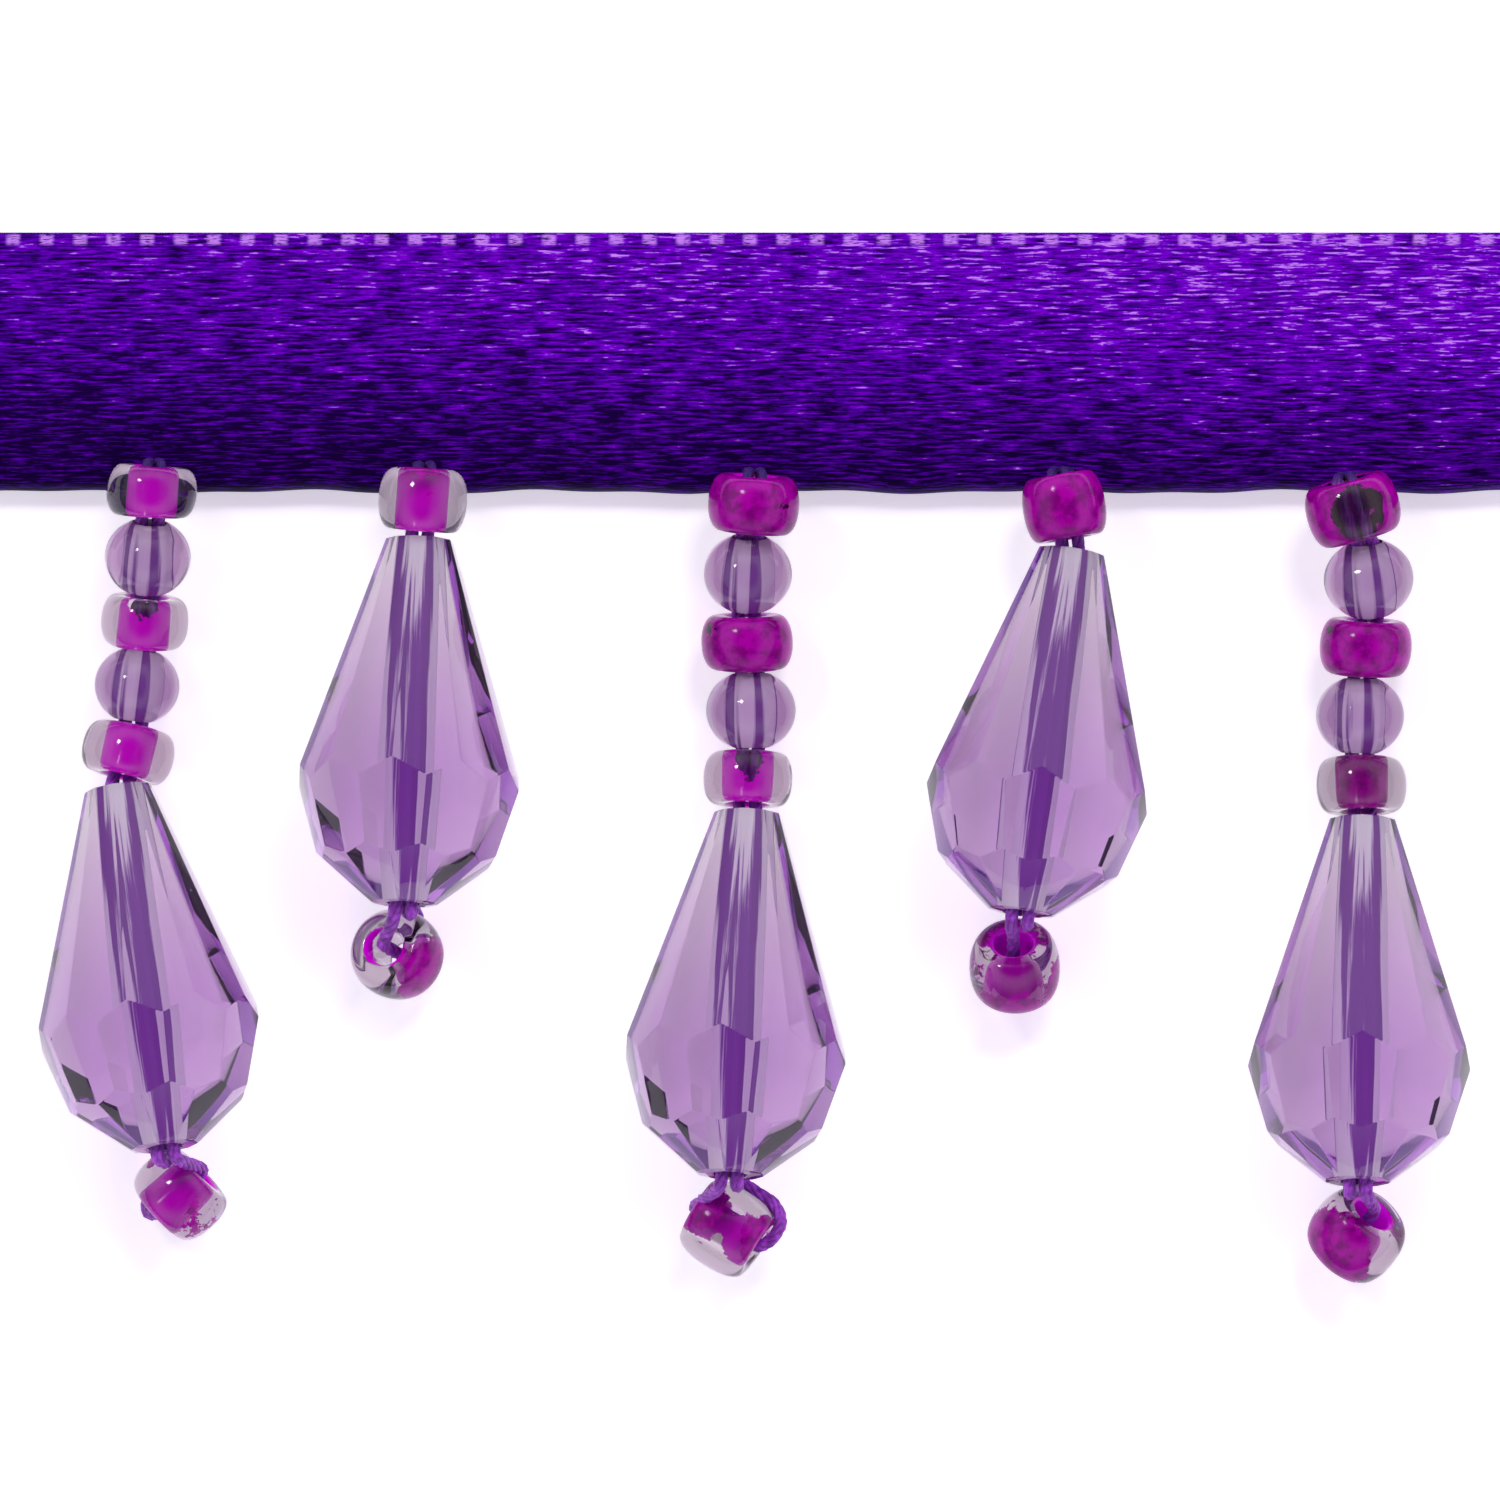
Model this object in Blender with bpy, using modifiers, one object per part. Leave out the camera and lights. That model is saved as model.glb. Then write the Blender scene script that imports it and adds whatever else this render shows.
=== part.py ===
"""Beaded fringe trim: a satin ribbon folded lengthwise over five beaded strands.

Lengths are millimetres until an object is made. The trim lies flat with its
front up: X runs along the ribbon, the strands hang towards -Y, and the ribbon's
back face lies at Z 0 with the origin at its middle.
"""

import math
from collections import namedtuple

import bmesh
import bpy
from mathutils import Matrix, Vector

MM = 0.001

# Ribbon, folded lengthwise with its fold along the lower edge
RIBBON_LENGTH = 78.0
RIBBON_WIDTH = 12.0
LAYER = 0.4
FOLD_RADIUS = 1.0
TOP_HEIGHT = 1.3
EDGE_WAVE = 0.07
DIMPLE_DEPTH = 0.3
DIMPLE_SPREAD_X = 2.2
DIMPLE_SPREAD_Y = 1.6
RIBBON_COLUMNS = 51
FLAT_STEPS = 5
FOLD_STEPS = 6
LOWER_EDGE = -RIBBON_WIDTH / 2

# Holes and yarn
HOLE_RADIUS = 0.8
YARN_RADIUS = 0.21
LEG_OFFSET = 0.26
LOOP_YARN = 1.1
YARN_ROOM = 0.6
LOOP_ROOM = 0.5
ANCHOR_HEIGHT = 0.86
STITCH_RADIUS = 0.8
STITCH_UP = 1.6
ANCHOR_LENGTH = 2.6

# Seed beads and round beads
SEED_OUTER_POWER = 2.15
SEED_BORE_POWER = 5.0
SEED_SECTION_POINTS = 12
SEED_STEPS = 14
ROUND_ARC_POINTS = 8
ROUND_STEPS = 16
ROUND_SQUASH = 0.92

# Faceted drop bead: distances run from its small end
DROP_LENGTH = 16.95
DROP_SIDES = 10
DROP_TOP_RADIUS = 1.58
GIRDLE_AT = 10.8
GIRDLE_RADIUS = 5.14
LOWER_ROW_SLOPE = 0.293
LAST_ROW_AT = 14.6
LAST_ROW_RADIUS = 4.3
LAST_ROW_SLOPE = 1.2
DROP_BORE_STEPS = 10
BLANK_RADIUS = 6.5

Bead = namedtuple("Bead", "strand place kind x y z turn pitch width length")
Drop = namedtuple("Drop", "strand x y z turn pitch spin")
Stop = namedtuple("Stop", "strand x y z bearing rise width length beside")

# turn and pitch tilt a bead off the yarn's own run: its upper end left, or up, in degrees
BEADS = (
    Bead(1, 1, "seed", -27.6, -6.0, 3.9, 0, -10, 4.2, 2.35),
    Bead(1, 2, "round", -27.83, -9.05, 3.2, 0, 0, 4.0, 3.3),
    Bead(1, 3, "seed", -28.0, -12.0, 2.5, 0, 0, 4.1, 2.35),
    Bead(1, 4, "round", -28.35, -14.97, 2.35, 0, 0, 3.95, 3.25),
    Bead(1, 5, "seed", -28.75, -18.05, 2.3, -3, 0, 4.3, 2.4),
    Bead(2, 1, "seed", -15.12, -6.4, 3.85, 0, -8, 4.15, 2.9),
    Bead(3, 1, "seed", 0.14, -6.6, 3.75, 0, -8, 4.25, 2.7),
    Bead(3, 2, "round", -0.1, -9.8, 3.0, 0, 0, 4.1, 3.45),
    Bead(3, 3, "seed", -0.14, -12.95, 2.4, 0, 0, 4.25, 2.55),
    Bead(3, 4, "round", 0.05, -16.12, 2.35, 0, 0, 4.1, 3.45),
    Bead(3, 5, "seed", -0.1, -19.3, 2.3, 0, 0, 4.1, 2.4),
    Bead(4, 1, "seed", 14.5, -6.7, 3.85, 0, -8, 3.85, 3.0),
    Bead(5, 1, "seed", 27.85, -6.82, 3.8, 3, -8, 4.3, 2.8),
    Bead(5, 2, "round", 28.6, -10.05, 3.0, 0, 0, 4.1, 3.45),
    Bead(5, 3, "seed", 28.45, -13.2, 2.4, 0, 0, 4.25, 2.55),
    Bead(5, 4, "round", 28.22, -16.37, 2.35, 0, 0, 4.1, 3.45),
    Bead(5, 5, "seed", 28.3, -19.57, 2.3, 0, 0, 4.2, 2.5),
)

# x, y and z are the middle of the small end. spin turns the facets about the bore
DROPS = (
    Drop(1, -29.2, -19.75, 2.96, 7.7, -11, 9.5),
    Drop(2, -15.26, -8.25, 3.6, -2.4, -8, 9.5),
    Drop(3, -0.09, -20.9, 2.96, -2.9, -11, 9.5),
    Drop(4, 14.85, -8.8, 3.6, -8.1, -8, 18.0),
    Drop(5, 28.3, -21.2, 2.98, -1.0, -11, 18.0),
)

# bearing and rise point along the bore to the end that the yarn enters. The yarn comes
# back over the bead where beside is 0, and past its right or left wall where it's 1 or -1
STOPS = (
    Stop(1, -26.35, -38.45, 2.9, 43, 5, 4.3, 2.8, 0),
    Stop(2, -16.3, -27.35, 2.6, 150, 60, 4.15, 2.8, 1),
    Stop(3, -1.05, -40.1, 2.9, -32, 8, 4.0, 3.4, 0),
    Stop(4, 12.2, -27.95, 2.8, 92, 42, 4.2, 3.1, 1),
    Stop(5, 28.0, -40.35, 2.9, 52, 30, 4.3, 3.0, -1),
)

# The way that the yarn takes round a stop bead
OVER = Vector((0.0, 0.5, 0.85))
BESIDE = Vector((0.9, 0.15, -0.4))

Colour = namedtuple("Colour", "red green blue roughness transmission")
FINISHES = {
    "ribbon_satin": Colour(0.065, 0.0, 0.22, 0.42, 0.0),
    "strand_yarn": Colour(0.16, 0.02, 0.4, 0.7, 0.0),
    "seed_glass": Colour(0.55, 0.0, 0.45, 0.12, 0.5),
    "round_acrylic": Colour(0.5, 0.36, 0.68, 0.12, 0.8),
    "drop_acrylic": Colour(0.46, 0.3, 0.72, 0.06, 0.8),
}


def clear_scene():
    """Removes every object that the file opens with."""
    for thing in list(bpy.data.objects):
        bpy.data.objects.remove(thing, do_unlink=True)


def new_collection(name):
    group = bpy.data.collections.new(name)
    bpy.context.scene.collection.children.link(group)
    return group


def finish(name):
    """The material of one finish."""
    look = FINISHES[name]
    material = bpy.data.materials.get(name)
    if material is None:
        material = bpy.data.materials.new(name)
        material.use_nodes = True
        shader = material.node_tree.nodes["Principled BSDF"]
        shader.inputs["Base Color"].default_value = (look.red, look.green, look.blue, 1.0)
        shader.inputs["Roughness"].default_value = look.roughness
        shader.inputs["Metallic"].default_value = 0.0
        shader.inputs["Transmission Weight"].default_value = look.transmission
    return material


def new_object(name, data, finish_name, group):
    thing = bpy.data.objects.new(name, data)
    group.objects.link(thing)
    data.materials.append(finish(finish_name))
    return thing


def mesh_from(name, shape):
    """Takes a bmesh in millimetres to a mesh in metres."""
    bmesh.ops.scale(shape, vec=(MM, MM, MM), verts=shape.verts)
    mesh = bpy.data.meshes.new(name)
    shape.to_mesh(mesh)
    shape.free()
    return mesh


def evaluated_mesh(thing):
    graph = bpy.context.evaluated_depsgraph_get()
    return bpy.data.meshes.new_from_object(thing.evaluated_get(graph))


def bore_axis(turn, pitch):
    """Unit vector along a bore, towards the bead's upper end."""
    swing = math.radians(turn)
    lift = math.radians(pitch)
    flat = math.cos(lift)
    return Vector((-math.sin(swing) * flat, math.cos(swing) * flat, math.sin(lift)))


def stop_axis(stop):
    bearing = math.radians(stop.bearing)
    rise = math.radians(stop.rise)
    flat = math.cos(rise)
    return Vector((math.cos(bearing) * flat, math.sin(bearing) * flat, math.sin(rise)))


def along(axis, centre):
    """Places a shape whose bore runs along Z, with Z towards the axis."""
    return Matrix.Translation(centre) @ axis.to_track_quat("Z", "Y").to_matrix().to_4x4()


def turned_mesh(name, section, steps):
    """Screws a closed section of (radius, height) pairs once round Z."""
    outline = bmesh.new()
    ring = [outline.verts.new((radius * MM, 0.0, height * MM)) for radius, height in section]
    for place, corner in enumerate(ring):
        outline.edges.new((corner, ring[(place + 1) % len(ring)]))
    profile = bpy.data.meshes.new(name + "_section")
    outline.to_mesh(profile)
    outline.free()
    blank = bpy.data.objects.new(name + "_blank", profile)
    bpy.context.scene.collection.objects.link(blank)
    screw = blank.modifiers.new("Turn", "SCREW")
    screw.axis = "Z"
    screw.angle = math.tau
    screw.steps = steps
    screw.render_steps = steps
    screw.use_merge_vertices = True
    screw.merge_threshold = 0.00001
    mesh = evaluated_mesh(blank)
    bpy.data.objects.remove(blank, do_unlink=True)
    outward = bmesh.new()
    outward.from_mesh(mesh)
    bmesh.ops.recalc_face_normals(outward, faces=outward.faces)
    outward.to_mesh(mesh)
    outward.free()
    mesh.shade_smooth()
    return mesh


def signed_power(value, power):
    return math.copysign(abs(value) ** power, value)


def seed_section(width, length):
    """A wall that is straight along the hole and well rounded outside."""
    wall = (width / 2 - HOLE_RADIUS) / 2
    middle = HOLE_RADIUS + wall
    section = []
    for place in range(SEED_SECTION_POINTS):
        angle = -math.tau * place / SEED_SECTION_POINTS
        power = SEED_OUTER_POWER if math.cos(angle) > 0 else SEED_BORE_POWER
        radius = middle + wall * signed_power(math.cos(angle), 2 / power)
        height = length / 2 * signed_power(math.sin(angle), 2 / power)
        section.append((radius, height))
    return section


def round_section(width, length):
    """A slightly squashed ball with its ends cut flat round a straight hole."""
    height = width * ROUND_SQUASH
    start = math.asin(length / height)
    section = [(HOLE_RADIUS, length / 2)]
    for place in range(ROUND_ARC_POINTS + 1):
        angle = start - 2 * start * place / ROUND_ARC_POINTS
        section.append((width / 2 * math.cos(angle), height / 2 * math.sin(angle)))
    section.append((HOLE_RADIUS, -length / 2))
    return section


def cut_away(shape, point, normal):
    """Cuts the shape by a plane, drops what lies beyond it and closes the cut."""
    everything = shape.verts[:] + shape.edges[:] + shape.faces[:]
    cut = bmesh.ops.bisect_plane(
        shape,
        geom=everything,
        dist=0.0001,
        plane_co=point,
        plane_no=normal,
        clear_outer=True,
    )
    rim = [part for part in cut["geom_cut"] if isinstance(part, bmesh.types.BMEdge)]
    if rim:
        bmesh.ops.edgenet_fill(shape, edges=rim)


def facet_row(shape, first, start, end):
    """Cuts one row of flat facets. start and end are (distance, facet radius)."""
    run = end[0] - start[0]
    fall = end[1] - start[1]
    for side in range(DROP_SIDES):
        angle = first + math.tau * side / DROP_SIDES
        out = Vector((math.cos(angle), math.sin(angle), 0.0))
        point = out * start[1] - Vector((0.0, 0.0, start[0]))
        normal = out * run + Vector((0.0, 0.0, fall))
        cut_away(shape, point, normal.normalized())


def drop_mesh():
    """The faceted drop, its small end at Z 0 and its bore down -Z."""
    shape = bmesh.new()
    bmesh.ops.create_cone(
        shape,
        cap_ends=True,
        segments=DROP_SIDES * 2,
        radius1=BLANK_RADIUS,
        radius2=BLANK_RADIUS,
        depth=DROP_LENGTH,
        matrix=Matrix.Translation((0.0, 0.0, -DROP_LENGTH / 2)),
    )
    half_side = math.pi / DROP_SIDES
    flat = math.cos(half_side)
    facet_row(shape, half_side, (0.0, DROP_TOP_RADIUS * flat), (GIRDLE_AT, GIRDLE_RADIUS * flat))
    lower = GIRDLE_RADIUS - LOWER_ROW_SLOPE * (LAST_ROW_AT - GIRDLE_AT)
    facet_row(shape, 0.0, (GIRDLE_AT, GIRDLE_RADIUS), (LAST_ROW_AT, lower))
    last = LAST_ROW_RADIUS - LAST_ROW_SLOPE * (DROP_LENGTH - LAST_ROW_AT)
    facet_row(shape, half_side, (LAST_ROW_AT, LAST_ROW_RADIUS), (DROP_LENGTH, last))
    bmesh.ops.recalc_face_normals(shape, faces=shape.faces)
    return mesh_from("drop_facets", shape)


def bored(name, mesh, cutter):
    """The mesh with the cutter's shape taken out of it."""
    blank = bpy.data.objects.new(name + "_blank", mesh)
    bpy.context.scene.collection.objects.link(blank)
    cut = blank.modifiers.new("Bore", "BOOLEAN")
    cut.operation = "DIFFERENCE"
    cut.solver = "EXACT"
    cut.object = cutter
    result = evaluated_mesh(blank)
    bpy.data.objects.remove(blank, do_unlink=True)
    return result


def bore_cutter(name, radius, depth, place, steps, group):
    shape = bmesh.new()
    bmesh.ops.create_cone(
        shape,
        cap_ends=True,
        segments=steps,
        radius1=radius,
        radius2=radius,
        depth=depth,
    )
    cutter = bpy.data.objects.new(name, mesh_from(name, shape))
    group.objects.link(cutter)
    cutter.matrix_world = place
    cutter.hide_render = True
    cutter.display_type = "WIRE"
    bpy.context.view_layer.update()
    return cutter


def metres(placement):
    """The same placement with its offset in metres."""
    scaled = placement.copy()
    scaled.translation = placement.translation * MM
    return scaled


def strand_tops():
    return [bead for bead in BEADS if bead.place == 1]


def dimple(x, y):
    """How far the front layer is pressed in over the top bead of each strand."""
    depth = 0.0
    for bead in strand_tops():
        across = (x - bead.x) / DIMPLE_SPREAD_X
        down = (y - LOWER_EDGE - STITCH_UP) / DIMPLE_SPREAD_Y
        depth += DIMPLE_DEPTH * math.exp(-across * across - down * down)
    return depth


def ribbon_section():
    """Outer face of the fold as (y, z), from the front selvedge to the back one."""
    top = RIBBON_WIDTH / 2
    crest = LOWER_EDGE + FOLD_RADIUS
    section = []
    for place in range(FLAT_STEPS):
        share = (place / FLAT_STEPS) ** 0.8
        y = top + (crest - top) * share
        z = TOP_HEIGHT + (2 * FOLD_RADIUS - TOP_HEIGHT) * math.sin(share * math.pi / 2)
        section.append((y, z))
    for place in range(FOLD_STEPS + 1):
        angle = math.pi * place / FOLD_STEPS
        y = crest - FOLD_RADIUS * math.sin(angle)
        section.append((y, FOLD_RADIUS * (1 + math.cos(angle))))
    section.append((top, 0.0))
    return section


def edge_wave(x, y):
    """The fold's slight unevenness, fading out towards the straight selvedges."""
    near = max(0.0, 1 - (y - LOWER_EDGE) / 3)
    return EDGE_WAVE * near * (math.sin(x * 0.55 + 0.4) + 0.6 * math.sin(x * 1.27 + 1.9))


def ribbon_mesh():
    section = ribbon_section()
    shape = bmesh.new()
    bmesh.ops.create_grid(
        shape, x_segments=RIBBON_COLUMNS, y_segments=len(section) - 1, size=0.5
    )
    for corner in shape.verts:
        row = round((corner.co.y + 0.5) * (len(section) - 1))
        x = corner.co.x * RIBBON_LENGTH
        y, z = section[row]
        front = z > FOLD_RADIUS
        pressed = dimple(x, y) * (z / FOLD_RADIUS - 1) if front else 0.0
        corner.co = (x, y + edge_wave(x, y) * (z > 0), z - pressed)
    bmesh.ops.recalc_face_normals(shape, faces=shape.faces)
    lowest = min(shape.faces, key=lambda face: face.calc_center_median().z)
    lowest.normal_update()
    if lowest.normal.z > 0:
        bmesh.ops.reverse_faces(shape, faces=shape.faces)
    return mesh_from("ribbon_header", shape)


def make_ribbon(group, cutters):
    """Both layers in one sheet, with a stitch hole in the front one at each strand."""
    ribbon = new_object("ribbon_header", ribbon_mesh(), "ribbon_satin", group)
    wall = ribbon.modifiers.new("Layer", "SOLIDIFY")
    wall.thickness = LAYER * MM
    wall.offset = -1.0
    for bead in strand_tops():
        depth = FOLD_RADIUS * 2
        place = Matrix.Translation(stitch_point(bead, FOLD_RADIUS + depth / 2))
        name = f"stitch_hole_{bead.strand}"
        cutter = bore_cutter(name, STITCH_RADIUS, depth, metres(place), 8, cutters)
        cut = ribbon.modifiers.new(name, "BOOLEAN")
        cut.operation = "DIFFERENCE"
        cut.solver = "EXACT"
        cut.object = cutter
    return ribbon


def stitch_point(bead, height):
    """Where a strand's yarn passes the front layer, at a height."""
    return Vector((bead.x, LOWER_EDGE + STITCH_UP, height))


def centre_of(bead):
    return Vector((bead.x, bead.y, bead.z))


def beads_of(strand):
    return [bead for bead in BEADS if bead.strand == strand]


def row_of(table, strand):
    return next(row for row in table if row.strand == strand)


def tilted(axis, turn, pitch):
    """The axis with its upper end swung left and lifted, in degrees."""
    swung = Matrix.Rotation(math.radians(turn), 3, "Z") @ axis
    level = swung.cross(Vector((0.0, 0.0, 1.0))).normalized()
    return (Matrix.Rotation(math.radians(pitch), 3, level) @ swung).normalized()


def bead_axes(strand):
    """Each bead of a strand with its bore's direction, which follows the yarn's run."""
    beads = beads_of(strand)
    run = [centre_of(bead) for bead in beads] + [centre_of(row_of(DROPS, strand))]
    axes = []
    for place, bead in enumerate(beads):
        above = run[max(place - 1, 0)]
        axes.append((bead, tilted((above - run[place + 1]).normalized(), bead.turn, bead.pitch)))
    return axes


def make_beads(strand, group):
    sections = {"seed": (seed_section, SEED_STEPS), "round": (round_section, ROUND_STEPS)}
    finishes = {"seed": "seed_glass", "round": "round_acrylic"}
    for bead, axis in bead_axes(strand):
        section, steps = sections[bead.kind]
        name = f"{bead.kind}_bead_{bead.strand}_{bead.place}"
        mesh = turned_mesh(name, section(bead.width, bead.length), steps)
        thing = new_object(name, mesh, finishes[bead.kind], group)
        thing.matrix_world = metres(along(axis, centre_of(bead)))


def make_stops(group):
    for stop in STOPS:
        name = f"stop_bead_{stop.strand}"
        mesh = turned_mesh(name, seed_section(stop.width, stop.length), SEED_STEPS)
        thing = new_object(name, mesh, "seed_glass", group)
        thing.matrix_world = metres(along(stop_axis(stop), centre_of(stop)))


def make_drops(group, cutters):
    middle = Matrix.Translation((0.0, 0.0, -DROP_LENGTH / 2 * MM))
    bore = bore_cutter(
        "drop_bore", HOLE_RADIUS, DROP_LENGTH + 2.0, middle, DROP_BORE_STEPS, cutters
    )
    mesh = bored("drop_bead", drop_mesh(), bore)
    for drop in DROPS:
        thing = new_object(f"drop_bead_{drop.strand}", mesh.copy(), "drop_acrylic", group)
        placed = along(bore_axis(drop.turn, drop.pitch), centre_of(drop))
        spun = Matrix.Rotation(math.radians(drop.spin), 4, "Z")
        thing.matrix_world = metres(placed @ spun)


def aside(axis, side):
    """The step from a bore's middle to one leg of the yarn in it."""
    return axis.cross(Vector((0.0, 0.0, 1.0))).normalized() * side * LEG_OFFSET


def leg_route(strand, side):
    """Points of one leg of yarn from inside the fold to just past the drop, in order."""
    drop = row_of(DROPS, strand)
    first, slope = bead_axes(strand)[0]
    start = stitch_point(first, ANCHOR_HEIGHT)
    shift = Vector((side * LEG_OFFSET, 0.0, 0.0))
    rise = Vector((0.0, 0.0, FOLD_RADIUS))
    route = [
        start + shift / LEG_OFFSET * ANCHOR_LENGTH,
        start + shift * 1.6,
        start + shift + rise,
        start + shift + rise * 2.1 + Vector((0.0, YARN_ROOM / 3, 0.0)),
        centre_of(first) + slope * (first.length / 2 + YARN_ROOM) + aside(slope, side),
    ]
    for bead, axis in bead_axes(strand):
        reach = axis * (bead.length / 2)
        route.append(centre_of(bead) + reach + aside(axis, side))
        route.append(centre_of(bead) - reach + aside(axis, side))
    axis = bore_axis(drop.turn, drop.pitch)
    for distance in (0.0, DROP_LENGTH, DROP_LENGTH + YARN_ROOM):
        route.append(centre_of(drop) - axis * distance + aside(axis, side))
    return route


def past_drop(strand):
    """The point where the yarn is clear of the drop's lower end."""
    drop = row_of(DROPS, strand)
    return centre_of(drop) - bore_axis(drop.turn, drop.pitch) * (DROP_LENGTH + YARN_ROOM)


def loop_route(strand):
    """Points of the yarn from past the drop through the stop bead and round it."""
    stop = row_of(STOPS, strand)
    axis = stop_axis(stop)
    hint = Vector((BESIDE.x * stop.beside, BESIDE.y, BESIDE.z)) if stop.beside else OVER
    side = (hint - axis * hint.dot(axis)).normalized()
    half = stop.length / 2
    wall = stop.width / 2
    wrap = [
        (half, 0.0),
        (half + LOOP_ROOM, HOLE_RADIUS),
        (half + LOOP_ROOM * 0.8, wall * 0.85),
        (half * 0.75, wall + LOOP_ROOM),
    ]
    entry = wrap[::-1]
    leave = [(-out, up) for out, up in wrap]
    if stop.beside:
        entry = [(half + YARN_ROOM, -0.2), (half, 0.0)]
        leave += [(half * 0.4, wall + LOOP_ROOM), (half, wall + LOOP_ROOM)]
    route = [centre_of(stop) + axis * out + side * up for out, up in entry + leave]
    if stop.beside:
        below = Vector((YARN_ROOM * stop.beside, -YARN_ROOM / 2, -DROP_TOP_RADIUS * 0.9))
        route.append(past_drop(strand) + below)
    return route


def make_yarn(strand, group):
    """One yarn: anchored in the fold, down the strand, round the stop bead and back."""
    side = 1 if stop_axis(row_of(STOPS, strand)).x > 0 else -1
    down = leg_route(strand, side)
    loop = loop_route(strand)
    back = leg_route(strand, -side)
    route = down + loop + back[::-1]
    name = f"strand_yarn_{strand}"
    curve = bpy.data.curves.new(name, "CURVE")
    curve.dimensions = "3D"
    curve.bevel_depth = YARN_RADIUS * MM
    curve.bevel_resolution = 0
    curve.use_fill_caps = True
    line = curve.splines.new("POLY")
    line.points.add(len(route) - 1)
    for place, point in enumerate(route):
        in_loop = len(down) <= place < len(down) + len(loop)
        line.points[place].co = (*(point * MM), 1.0)
        line.points[place].radius = LOOP_YARN if in_loop else 1.0
    return new_object(name, curve, "strand_yarn", group)


def main():
    clear_scene()
    parts = new_collection("beaded_fringe_trim")
    cutters = new_collection("cutters")
    make_ribbon(parts, cutters)
    make_drops(parts, cutters)
    make_stops(parts)
    for drop in DROPS:
        make_beads(drop.strand, parts)
        make_yarn(drop.strand, parts)


main()
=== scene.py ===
import math
import random
from collections import namedtuple

import bmesh
import bpy
from bpy.props import FloatProperty, FloatVectorProperty, IntProperty, PointerProperty
from mathutils import Matrix, Vector, noise


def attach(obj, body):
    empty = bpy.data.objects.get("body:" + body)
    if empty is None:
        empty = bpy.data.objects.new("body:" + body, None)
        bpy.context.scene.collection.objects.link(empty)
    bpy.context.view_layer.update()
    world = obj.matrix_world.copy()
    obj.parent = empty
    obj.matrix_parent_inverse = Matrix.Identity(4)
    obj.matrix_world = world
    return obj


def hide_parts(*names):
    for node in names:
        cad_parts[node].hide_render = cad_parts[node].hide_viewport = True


bl_info = {
    "name": "Beaded fringe trim",
    "version": (1, 0, 0),
    "blender": (4, 5, 0),
    "location": "View3D > Sidebar > Fringe trim",
    "description": "Dresses a satin ribbon with five beaded strands and sets it on a pale floor",
    "category": "Object",
}

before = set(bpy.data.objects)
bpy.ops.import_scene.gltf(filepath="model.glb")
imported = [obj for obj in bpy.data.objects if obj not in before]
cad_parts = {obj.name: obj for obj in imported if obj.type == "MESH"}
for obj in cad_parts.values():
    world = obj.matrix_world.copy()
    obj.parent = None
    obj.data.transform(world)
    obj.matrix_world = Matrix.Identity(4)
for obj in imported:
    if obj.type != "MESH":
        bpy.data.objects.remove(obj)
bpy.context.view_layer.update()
BODY = "root"
MM = 0.001

# Placing, in millimetres, as the trim's solids have it
LOWER_EDGE = -6.0
RIBBON_LENGTH = 78.0
RIBBON_TOP = 6.0
FOLD_RADIUS = 1.0
TOP_HEIGHT = 1.3
STITCH_UP = 1.6
HOLE_RADIUS = 0.8
SEED_OUTER_POWER = 2.15
SEED_BORE_POWER = 5.0
DROP_LENGTH = 16.95
DROP_TOP_RADIUS = 1.58
GIRDLE_AT = 10.8
GIRDLE_RADIUS = 5.14
LAST_ROW_AT = 14.6
LAST_ROW_RADIUS = 4.3
LOWER_ROW_SLOPE = 0.293
LAST_ROW_SLOPE = 1.2
DROP_SIDES = 10
LEG_OFFSET = 0.38
YARN_ROOM = 0.6
LOOP_ROOM = 0.4
TUCK = 0.16
ANCHOR_HEIGHT = 0.86
ANCHOR_LENGTH = 2.6
TOP_SQUEEZE = -5.6

# lining is how whole the colour in the bore is and skin how much colour is outside, from -1
# to 1. A patch is (x, y, z, reach, gain), in half-widths from the bead's middle: the colour is
# thicker there, or worn where gain is negative. way is the side of a stop bead that the yarn
# comes back by
Bead = namedtuple("Bead", "strand place kind x y z turn pitch width length lining skin patches")
Drop = namedtuple("Drop", "strand x y z turn pitch spin")
Stop = namedtuple("Stop", "strand x y z bearing rise width length way lining skin patches")
CAP = (0.0, 0.95, 0.45, 0.7, 1.9)

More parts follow.
